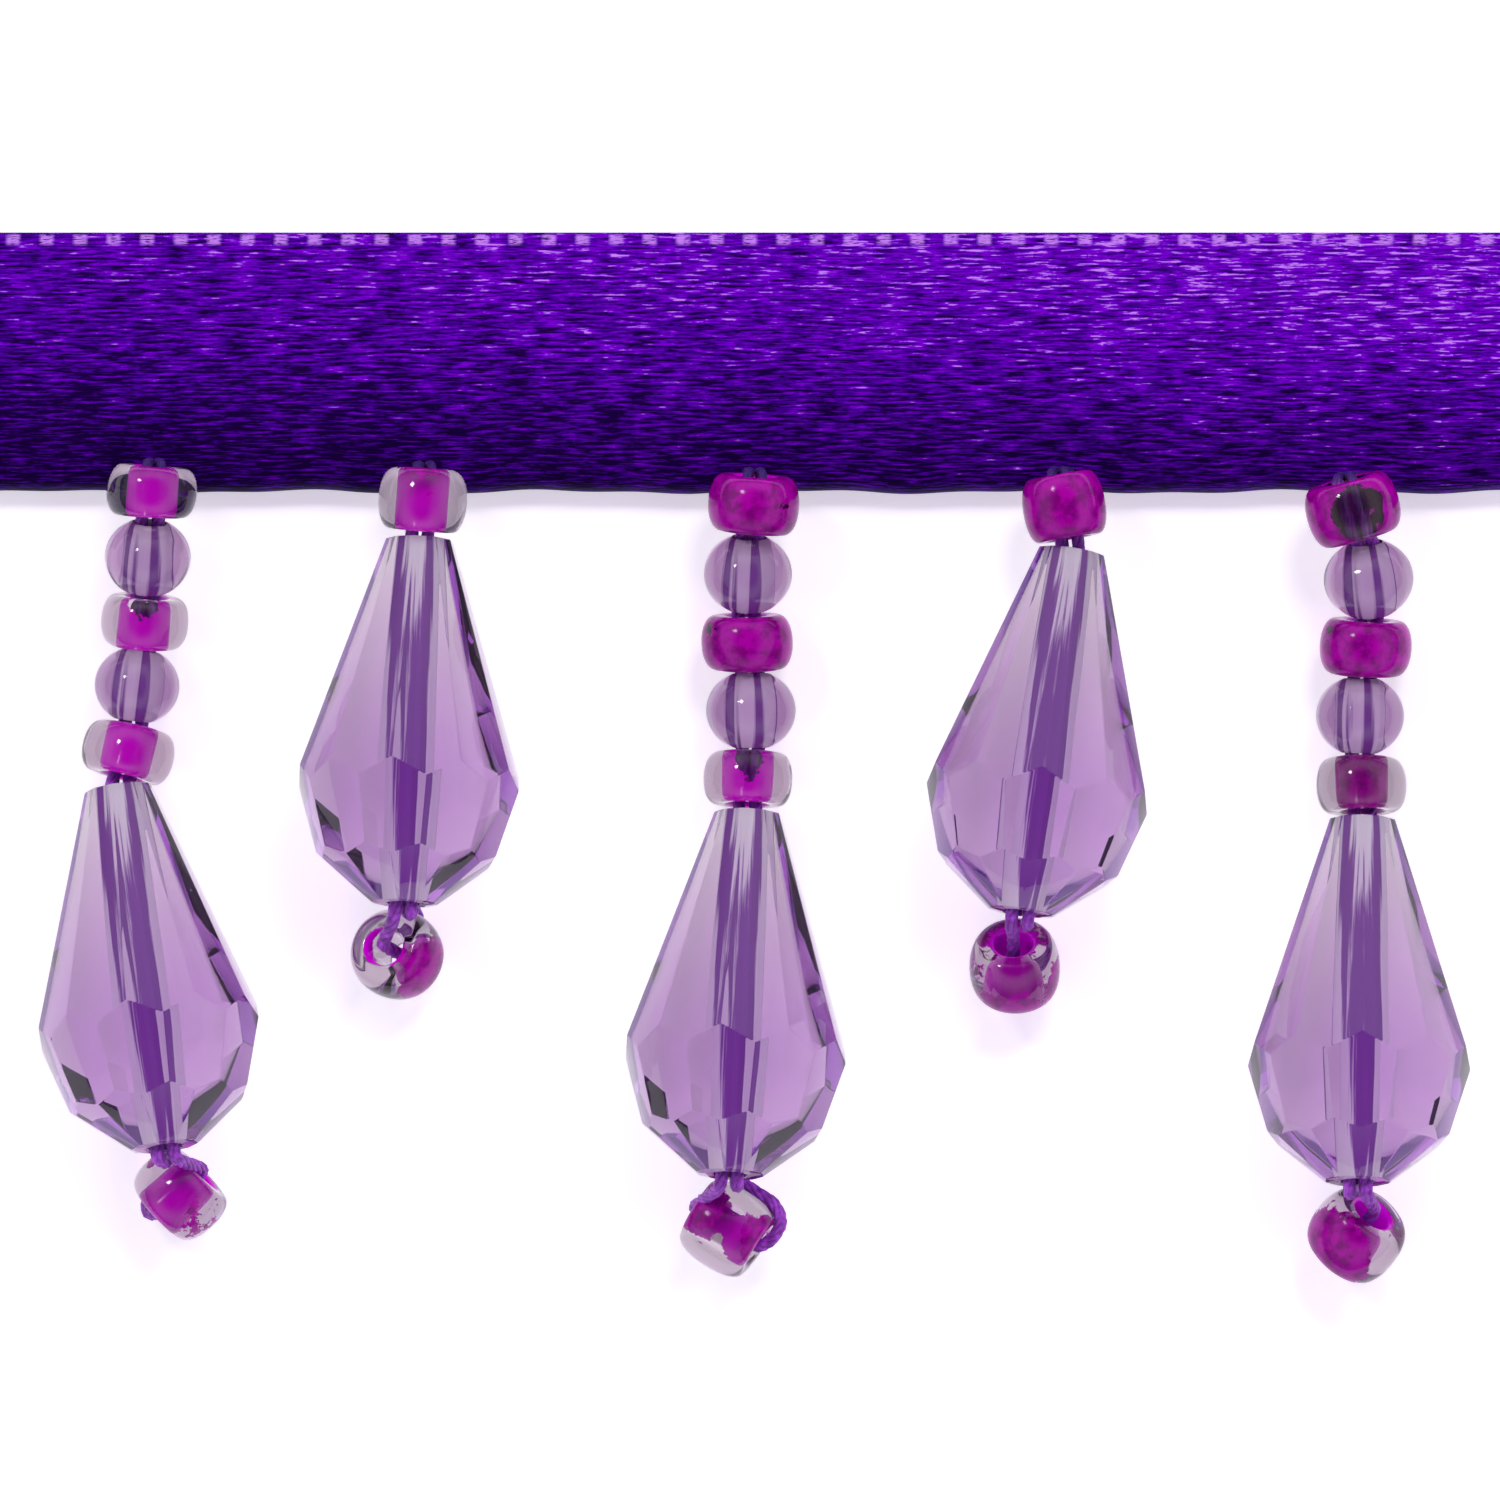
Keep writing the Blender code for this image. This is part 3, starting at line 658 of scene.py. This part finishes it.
class FRINGE_OT_ribbon(bpy.types.Operator):
    """Makes the satin ribbon, folded lengthwise over the strands"""

    bl_idname = "fringe.ribbon"
    bl_label = "Ribbon"

    def execute(self, context):
        look = context.scene.fringe_ribbon
        section = ribbon_section(look.rows)
        clear_choice()
        bpy.ops.mesh.primitive_grid_add(
            x_subdivisions=look.columns, y_subdivisions=len(section) - 1, size=1.0
        )
        ribbon = context.active_object
        ribbon.name = "satin_ribbon"
        reach = [0.0]
        for here, there in zip(section, section[1:]):
            reach.append(reach[-1] + math.dist(here, there))
        mesh = ribbon.data
        arcs = []
        for corner in mesh.vertices:
            row = round((corner.co.y + 0.5) * (len(section) - 1))
            x = corner.co.x * RIBBON_LENGTH
            y, z = section[row]
            share = max(0.0, z / FOLD_RADIUS - 1)
            slack = noise.noise(Vector((x * 0.16, reach[row] * 0.22, 3.0))) * 0.07
            slack += noise.noise(Vector((x * 0.5, reach[row] * 0.6, 8.0))) * 0.025
            z -= (pressed_in(x, y) + abs(slack)) * share
            corner.co = Vector((x, y + edge_wave(x, y) * (z > 0), z)) * MM
            arcs.append((x, reach[row]))
        for layer in list(mesh.uv_layers):
            mesh.uv_layers.remove(layer)
        cloth = mesh.uv_layers.new(name="cloth")
        for loop in mesh.loops:
            x, arc = arcs[loop.vertex_index]
            cloth.data[loop.index].uv = (x * 0.1, arc * 0.1)
        pick(ribbon)
        bpy.ops.object.mode_set(mode="EDIT")
        bpy.ops.mesh.select_all(action="SELECT")
        bpy.ops.mesh.normals_make_consistent(inside=False)
        bpy.ops.object.mode_set(mode="OBJECT")
        lowest = min(mesh.polygons, key=lambda face: face.center.z)
        if lowest.normal.z > 0:
            mesh.flip_normals()
        layer = ribbon.modifiers.new("Layer", "SOLIDIFY")
        layer.thickness = look.thickness
        layer.offset = -1.0
        apply_modifiers(ribbon)
        bpy.ops.object.shade_smooth_by_angle(angle=math.radians(50))
        mesh.materials.clear()
        mesh.materials.append(satin_material())
        keep(ribbon, "ribbon", "ribbon_header")
        return {"FINISHED"}


def signed_power(value, power):
    return math.copysign(abs(value) ** power, value)


def wall_ring(bead_width, bead_length):
    """The middle and half-thickness of a bead's wall round its hole."""
    wall = (bead_width / 2 - HOLE_RADIUS) / 2
    return HOLE_RADIUS + wall, wall


def seed_blank(name, width, length, seed):
    """A rounded, slightly lumpy glass ring about Z."""
    around = bpy.context.scene.fringe_beads.around
    middle, wall = wall_ring(width, length)
    clear_choice()
    bpy.ops.mesh.primitive_torus_add(
        major_segments=around, minor_segments=32, major_radius=middle * MM, minor_radius=wall * MM
    )
    bead = bpy.context.active_object
    bead.name = name
    for corner in bead.data.vertices:
        spot = corner.co / MM
        heading = math.atan2(spot.y, spot.x)
        out = spot.xy.length - middle
        angle = math.atan2(spot.z, out)
        power = SEED_OUTER_POWER if out > 0 else SEED_BORE_POWER
        radius = middle + wall * signed_power(math.cos(angle), 2 / power)
        height = length / 2 * signed_power(math.sin(angle), 2 / power)
        lump = noise.noise(Vector((spot.x * 0.35, spot.y * 0.35, spot.z * 0.35 + seed * 3.7)))
        lump *= 0.05 * max(0.0, out + wall) / wall
        radius *= 1 + lump * 0.4
        height *= 1 + lump
        corner.co = Vector((math.cos(heading) * radius, math.sin(heading) * radius, height)) * MM
    return bead


def colour_bead(bead, spec, placed):
    """Stores how much colour each point of a seed bead keeps, and which points line its bore."""
    stored = bead.data.attributes.new("colour", "FLOAT", "POINT")
    lined = bead.data.attributes.new("bore", "FLOAT", "POINT")
    for corner in bead.data.vertices:
        spot = corner.co / MM
        inside = 1.0 - min(1.0, max(0.0, (spot.xy.length - HOLE_RADIUS - 0.2) / 0.15))
        towards = (placed.to_3x3() @ spot) / (spec.width / 2)
        amount = spec.skin + (spec.lining - spec.skin) * inside
        for x, y, z, reach, gain in spec.patches:
            away = (towards - Vector((x, y, z))).length / reach
            amount += gain * max(0.0, 1.0 - away * away)
        stored.data[corner.index].value = amount
        lined.data[corner.index].value = inside if spec.lining <= 1.0 else 0.0


def metres(placement):
    """The same placement with its offset in metres."""
    scaled = placement.copy()
    scaled.translation = placement.translation * MM
    return scaled


class FRINGE_OT_seeds(bpy.types.Operator):
    """Makes the lined and coated glass seed beads, and the stop beads at the strands' ends"""

    bl_idname = "fringe.seeds"
    bl_label = "Seed beads"

    def execute(self, context):
        glass = seed_material()
        rows = []
        for drop in DROPS:
            for bead, axis in bead_axes(drop.strand):
                if bead.kind == "seed":
                    rows.append((f"seed_bead_{bead.strand}_{bead.place}", bead, axis))
        for stop in STOPS:
            rows.append((f"stop_bead_{stop.strand}", stop, stop_axis(stop)))
        for place, (node, spec, axis) in enumerate(rows):
            placed = along(axis, centre_of(spec))
            bead = seed_blank("glass_" + node, spec.width, spec.length, place)
            colour_bead(bead, spec, placed)
            bead.matrix_world = metres(placed)
            settle(bead)
            bpy.ops.object.shade_smooth()
            bead.data.materials.append(glass)
            keep(bead, "seed_glass", node)
        return {"FINISHED"}


def round_blank(name, width, length, seed):
    """A clear ball squashed along its hole, with flat ends and two faint mould lines."""
    around = bpy.context.scene.fringe_beads.around
    height = width * 0.92
    clear_choice()
    bpy.ops.mesh.primitive_uv_sphere_add(
        segments=around + 32, ring_count=36, radius=width / 2 * MM
    )
    bead = bpy.context.active_object
    bead.name = name
    for corner in bead.data.vertices:
        spot = corner.co
        heading = math.atan2(spot.y, spot.x)
        line = abs(math.sin(heading + seed * 0.9)) * width / 2
        ridge = 0.035 * MM * math.exp(-((line / 0.13) ** 2))
        ridge += 0.008 * MM * math.sin(heading * 13 + seed)
        away = Vector((spot.x, spot.y, 0.0)).normalized() * ridge
        level = max(0.0, 1 - abs(spot.z / MM) / (width / 2))
        corner.co = Vector((spot.x, spot.y, spot.z * height / width)) + away * min(1.0, level * 3)
    for side in (1, -1):
        bpy.ops.object.mode_set(mode="EDIT")
        bpy.ops.mesh.select_all(action="SELECT")
        bpy.ops.mesh.bisect(
            plane_co=(0, 0, side * length / 2 * MM),
            plane_no=(0, 0, side),
            use_fill=True,
            clear_outer=True,
            threshold=0.000001,
        )
        bpy.ops.object.mode_set(mode="OBJECT")
    return bead


def bore_through(piece, reach, steps, seed):
    """Cuts the straight hole, with the fine grooves that the mould's pin leaves in it."""
    clear_choice()
    bpy.ops.mesh.primitive_cylinder_add(vertices=steps, radius=HOLE_RADIUS * MM, depth=reach * MM)
    pin = bpy.context.active_object
    for corner in pin.data.vertices:
        heading = math.atan2(corner.co.y, corner.co.x)
        groove = 1 + 0.035 * math.sin(heading * 7 + seed) + 0.02 * math.sin(heading * 11 + seed * 2)
        corner.co.x *= groove
        corner.co.y *= groove
    pick(piece)
    cut = piece.modifiers.new("Bore", "BOOLEAN")
    cut.operation = "DIFFERENCE"
    cut.solver = "EXACT"
    cut.object = pin
    apply_modifiers(piece)
    bpy.data.objects.remove(pin, do_unlink=True)


class FRINGE_OT_rounds(bpy.types.Operator):
    """Makes the round acrylic beads"""

    bl_idname = "fringe.rounds"
    bl_label = "Round beads"

    def execute(self, context):
        look = context.scene.fringe_beads
        acrylic = acrylic_material(
            "round_acrylic", look.round_tint, (0.90, 0.84, 0.93, 1.0), 0.04, 0.05, 0.95, 230.0
        )
        lined = bore_material()
        for drop in DROPS:
            for bead, axis in bead_axes(drop.strand):
                if bead.kind != "round":
                    continue
                node = f"round_bead_{bead.strand}_{bead.place}"
                seed = bead.strand + bead.place
                ball = round_blank("acrylic_" + node, bead.width, bead.length, seed)
                bore_through(ball, bead.length + 2.0, 44, seed)
                line_bore(ball)
                ball.matrix_world = metres(along(axis, centre_of(bead)))
                settle(ball)
                bpy.ops.object.shade_smooth_by_angle(angle=math.radians(35))
                ball.data.materials.append(acrylic)
                ball.data.materials.append(lined)
                keep(ball, "round_acrylic", node)
        return {"FINISHED"}


def cut_facets(first, start, end):
    """Cuts one row of flat facets. start and end are (distance, facet radius)."""
    run = end[0] - start[0]
    fall = end[1] - start[1]
    for side in range(DROP_SIDES):
        angle = first + math.tau * side / DROP_SIDES
        out = Vector((math.cos(angle), math.sin(angle), 0.0))
        point = (out * start[1] - Vector((0.0, 0.0, start[0]))) * MM
        normal = (out * run + Vector((0.0, 0.0, fall))).normalized()
        bpy.ops.mesh.select_all(action="SELECT")
        bpy.ops.mesh.bisect(
            plane_co=point, plane_no=normal, use_fill=True, clear_outer=True, threshold=0.000001
        )


def drop_blank():
    """The faceted drop, its small end at Z 0 and its bore down -Z."""
    edge = bpy.context.scene.fringe_beads.edge
    clear_choice()
    bpy.ops.mesh.primitive_cylinder_add(
        vertices=DROP_SIDES * 2,
        radius=6.5 * MM,
        depth=DROP_LENGTH * MM,
        location=(0.0, 0.0, -DROP_LENGTH / 2 * MM),
    )
    drop = bpy.context.active_object
    settle(drop)
    half_side = math.pi / DROP_SIDES
    flat = math.cos(half_side)
    bpy.ops.object.mode_set(mode="EDIT")
    cut_facets(half_side, (0.0, DROP_TOP_RADIUS * flat), (GIRDLE_AT, GIRDLE_RADIUS * flat))
    lower = GIRDLE_RADIUS - LOWER_ROW_SLOPE * (LAST_ROW_AT - GIRDLE_AT)
    cut_facets(0.0, (GIRDLE_AT, GIRDLE_RADIUS), (LAST_ROW_AT, lower))
    last = LAST_ROW_RADIUS - LAST_ROW_SLOPE * (DROP_LENGTH - LAST_ROW_AT)
    cut_facets(half_side, (LAST_ROW_AT, LAST_ROW_RADIUS), (DROP_LENGTH, last))
    bpy.ops.mesh.select_all(action="SELECT")
    bpy.ops.mesh.remove_doubles(threshold=0.00002)
    bpy.ops.mesh.normals_make_consistent(inside=False)
    bpy.ops.object.mode_set(mode="OBJECT")
    soft = drop.modifiers.new("Edge", "BEVEL")
    soft.width = edge
    soft.segments = 2
    soft.limit_method = "ANGLE"
    soft.angle_limit = math.radians(4)
    apply_modifiers(drop)
    bore_through(drop, DROP_LENGTH * 2 + 2.0, 40, 1)
    line_bore(drop)
    pick(drop)
    bpy.ops.object.shade_smooth_by_angle(angle=math.radians(12))
    return drop


class FRINGE_OT_drops(bpy.types.Operator):
    """Makes the faceted acrylic drops"""

    bl_idname = "fringe.drops"
    bl_label = "Drops"

    def execute(self, context):
        look = context.scene.fringe_beads
        acrylic = acrylic_material(
            "drop_acrylic", look.drop_tint, (0.93, 0.88, 0.96, 1.0), 0.02, 0.02, 0.98, 95.0
        )
        lined = bpy.data.materials["bore_with_yarn"]
        blank = drop_blank()
        for drop in DROPS:
            piece = blank.copy()
            piece.data = blank.data.copy()
            piece.name = f"acrylic_drop_{drop.strand}"
            context.scene.collection.objects.link(piece)
            placed = along(bore_axis(drop.turn, drop.pitch), centre_of(drop))
            piece.matrix_world = metres(placed @ Matrix.Rotation(math.radians(drop.spin), 4, "Z"))
            settle(piece)
            piece.data.materials.append(acrylic)
            piece.data.materials.append(lined)
            keep(piece, "drop_acrylic", f"drop_bead_{drop.strand}")
        bpy.data.objects.remove(blank, do_unlink=True)
        return {"FINISHED"}


def aside(axis, side):
    """The step from a bore's middle to one leg of the yarn in it."""
    return axis.cross(Vector((0.0, 0.0, 1.0))).normalized() * side * LEG_OFFSET


def leg_route(strand, side):
    """Points of one leg of yarn from inside the fold to just past the drop, in order."""
    drop = row_of(DROPS, strand)
    first, slope = bead_axes(strand)[0]
    top = centre_of(first) + slope * (first.length / 2)
    start = Vector((first.x, top.y + TUCK, ANCHOR_HEIGHT))
    shift = Vector((side * LEG_OFFSET, 0.0, 0.0))
    route = [
        start + shift / LEG_OFFSET * ANCHOR_LENGTH,
        start + shift * 1.3,
        Vector((start.x, start.y, FOLD_RADIUS * 2)) + shift * 0.6,
        Vector((top.x, start.y, (FOLD_RADIUS * 2 + top.z) / 2)) + shift * 0.6,
        top + slope * TUCK + aside(slope, side) * 0.8,
    ]
    for bead, axis in bead_axes(strand):
        reach = axis * (bead.length / 2)
        route.append(centre_of(bead) + reach + aside(axis, side))
        route.append(centre_of(bead) - reach + aside(axis, side))
    axis = bore_axis(drop.turn, drop.pitch)
    for distance in (0.0, DROP_LENGTH, DROP_LENGTH + YARN_ROOM):
        route.append(centre_of(drop) - axis * distance + aside(axis, side))
    return route


def loop_route(strand):
    """Points of the yarn from the drop through the stop bead, and back by one side of it."""
    stop = row_of(STOPS, strand)
    axis = stop_axis(stop)
    hint = Vector(stop.way)
    side = (hint - axis * hint.dot(axis)).normalized()
    half = stop.length / 2
    wall = stop.width / 2
    steps = (
        (half + LOOP_ROOM * 0.5, 0.0),
        (half, 0.0),
        (-half, 0.0),
        (-half - LOOP_ROOM, HOLE_RADIUS),
        (-half - LOOP_ROOM * 0.8, wall * 0.85),
        (-half * 0.75, wall + LOOP_ROOM * 0.5),
        (half * 0.5, wall + LOOP_ROOM * 0.5),
    )
    return [centre_of(stop) + axis * out + side * up for out, up in steps]


def even_points(route, gap):
    """Points a gap apart along straight runs, with the corners eased."""
    points = []
    for here, there in zip(route, route[1:]):
        count = max(1, round((there - here).length / gap))
        points += [here.lerp(there, place / count) for place in range(count)]
    points.append(route[-1])
    for _ in range(2):
        eased = points[:]
        for place in range(1, len(points) - 1):
            eased[place] = (points[place - 1] + points[place] * 2 + points[place + 1]) / 4
        points = eased
    return points


class FRINGE_OT_yarn(bpy.types.Operator):
    """Makes each strand's yarn as twisted filaments"""

    bl_idname = "fringe.yarn"
    bl_label = "Yarn"

    def execute(self, context):
        look = context.scene.fringe_yarn
        purple = yarn_material()
        for drop in DROPS:
            self.twist_yarn(drop.strand, look, purple)
        return {"FINISHED"}

    def twist_yarn(self, strand, look, purple):
        side = 1 if stop_axis(row_of(STOPS, strand)).x > 0 else -1
        down = leg_route(strand, side)
        loop = loop_route(strand)
        route = down + loop + leg_route(strand, -side)[::-1]
        points = even_points(route, 0.28)
        chance = random.Random(strand)
        line = bpy.data.curves.new(f"yarn_{strand}", "CURVE")
        line.dimensions = "3D"
        thread = look.radius / MM * 0.4
        line.bevel_depth = thread * MM
        line.bevel_resolution = 1
        line.use_fill_caps = True
        for strip in range(look.filaments):
            self.add_filament(line, points, strip, look, thread, chance)
        yarn = bpy.data.objects.new(f"twisted_yarn_{strand}", line)
        bpy.context.scene.collection.objects.link(yarn)
        pick(yarn)
        bpy.ops.object.convert(target="MESH")
        yarn = bpy.context.active_object
        bpy.ops.object.shade_smooth()
        yarn.data.materials.append(purple)
        keep(yarn, "yarn", f"strand_yarn_{strand}")

    def add_filament(self, line, points, strip, look, thread, chance):
        """One filament: the first runs in the middle and the others wind round it."""
        ring = 0.0 if strip == 0 else look.radius / MM - thread
        phase = math.tau * strip / max(1, look.filaments - 1)
        spline = line.splines.new("POLY")
        spline.points.add(len(points) - 1)
        travelled = 0.0
        drift = chance.uniform(0, 10)
        for place, point in enumerate(points):
            before = points[max(place - 1, 0)]
            after = points[min(place + 1, len(points) - 1)]
            heading = (after - before).normalized()
            up = heading.cross(Vector((0.31, 0.22, 0.93))).normalized()
            across = heading.cross(up)
            travelled += (point - before).length
            angle = phase + math.tau * travelled / (look.twist / MM)
            loose = 1 + 0.25 * noise.noise(Vector((travelled * 0.8, drift, strip)))
            loose *= 0.55 if point.y > TOP_SQUEEZE else 1.0
            off = (up * math.cos(angle) + across * math.sin(angle)) * ring * loose
            spline.points[place].co = (*((point + off) * MM), 1.0)


class FRINGE_OT_stage(bpy.types.Operator):
    """Sets the floor, the lights and the camera"""

    bl_idname = "fringe.stage"
    bl_label = "Stage"

    def execute(self, context):
        look = context.scene.fringe_stage
        clear_choice()
        bpy.ops.mesh.primitive_plane_add(size=4.0, location=(0.0, 0.0, -0.00003))
        floor = context.active_object
        floor.name = "floor"
        material, tree = new_material("pale_floor")
        shader = tree.nodes["Principled BSDF"]
        shader.inputs["Base Color"].default_value = tinted(look.floor)
        shader.inputs["Roughness"].default_value = 0.9
        shader.inputs["Specular IOR Level"].default_value = 0.1
        shader.inputs["Emission Color"].default_value = (1.0, 1.0, 1.0, 1.0)
        shader.inputs["Emission Strength"].default_value = look.table
        floor.data.materials.append(material)
        key = self.add_light("key", (0.15, 0.37, 0.58), 0.17, 1.6)
        key.visible_glossy = False
        self.add_light("fill", (-0.34, 0.30, 0.55), 0.10, 0.7)
        context.scene.world = self.light_tent(look)
        context.scene.view_settings.view_transform = "Standard"
        sight = bpy.data.cameras.new("camera")
        camera = bpy.data.objects.new("camera", sight)
        context.scene.collection.objects.link(camera)
        camera.location = (0.0, -0.01795, look.height)
        sight.sensor_width = 36.0
        sight.lens = 36.0 * look.height / look.span
        context.scene.camera = camera
        return {"FINISHED"}

    def light_tent(self, look):
        """A bright tent all round, dim at its foot and open at the top where the camera is."""
        world = bpy.data.worlds.new("light_tent")
        world.use_nodes = True
        tree = world.node_tree
        split = put(tree, "ShaderNodeSeparateXYZ")
        feed(tree, split.inputs[0], put(tree, "ShaderNodeTexCoord").outputs["Generated"])
        upward = split.outputs[2]
        foot = ramp_between(tree, upward, -0.1, 0.5)
        wall = calc(tree, "ADD", calc(tree, "MULTIPLY", foot, 0.5), 0.5)
        shut = ramp_between(tree, upward, 0.94, 0.62)
        colour = blend_colours(tree, foot, tinted(look.foot), (1.0, 1.0, 1.0, 1.0))
        colour = blend_colours(tree, shut, tinted(look.opening), colour)
        glow = calc(tree, "MULTIPLY", wall, look.tent)
        feed(tree, tree.nodes["Background"].inputs["Strength"], glow)
        feed(tree, tree.nodes["Background"].inputs["Color"], colour)
        return world

    def add_light(self, name, place, size, power):
        lamp = bpy.data.lights.new(name, "AREA")
        lamp.shape = "SQUARE"
        lamp.size = size
        lamp.energy = power
        light = bpy.data.objects.new(name, lamp)
        bpy.context.scene.collection.objects.link(light)
        light.location = place
        light.visible_transmission = False
        target = Vector((0.0, -0.018, 0.0))
        light.rotation_euler = (Vector(place) - target).to_track_quat("Z", "Y").to_euler()
        return light


OPERATORS = (
    FRINGE_OT_ribbon,
    FRINGE_OT_seeds,
    FRINGE_OT_rounds,
    FRINGE_OT_drops,
    FRINGE_OT_yarn,
    FRINGE_OT_stage,
)
GROUPS = {
    "fringe_ribbon": FringeRibbon,
    "fringe_beads": FringeBeads,
    "fringe_yarn": FringeYarn,
    "fringe_stage": FringeStage,
}


class FRINGE_PT_panel(bpy.types.Panel):
    """Lists the trim's pieces and their settings"""

    bl_label = "Fringe trim"
    bl_idname = "FRINGE_PT_panel"
    bl_space_type = "VIEW_3D"
    bl_region_type = "UI"
    bl_category = "Fringe trim"

    def draw(self, context):
        for operator in OPERATORS:
            self.layout.operator(operator.bl_idname)
        for group in GROUPS:
            settings = getattr(context.scene, group)
            box = self.layout.box()
            for name in type(settings).__annotations__:
                box.prop(settings, name)


def register():
    for kind in (*GROUPS.values(), *OPERATORS, FRINGE_PT_panel):
        bpy.utils.register_class(kind)
    for name, kind in GROUPS.items():
        setattr(bpy.types.Scene, name, PointerProperty(type=kind))


def unregister():
    for name in GROUPS:
        delattr(bpy.types.Scene, name)
    for kind in reversed((*GROUPS.values(), *OPERATORS, FRINGE_PT_panel)):
        bpy.utils.unregister_class(kind)


def main():
    register()
    bpy.ops.fringe.stage()
    bpy.ops.fringe.ribbon()
    bpy.ops.fringe.seeds()
    bpy.ops.fringe.rounds()
    bpy.ops.fringe.drops()
    bpy.ops.fringe.yarn()


if __name__ == "__main__":
    main()
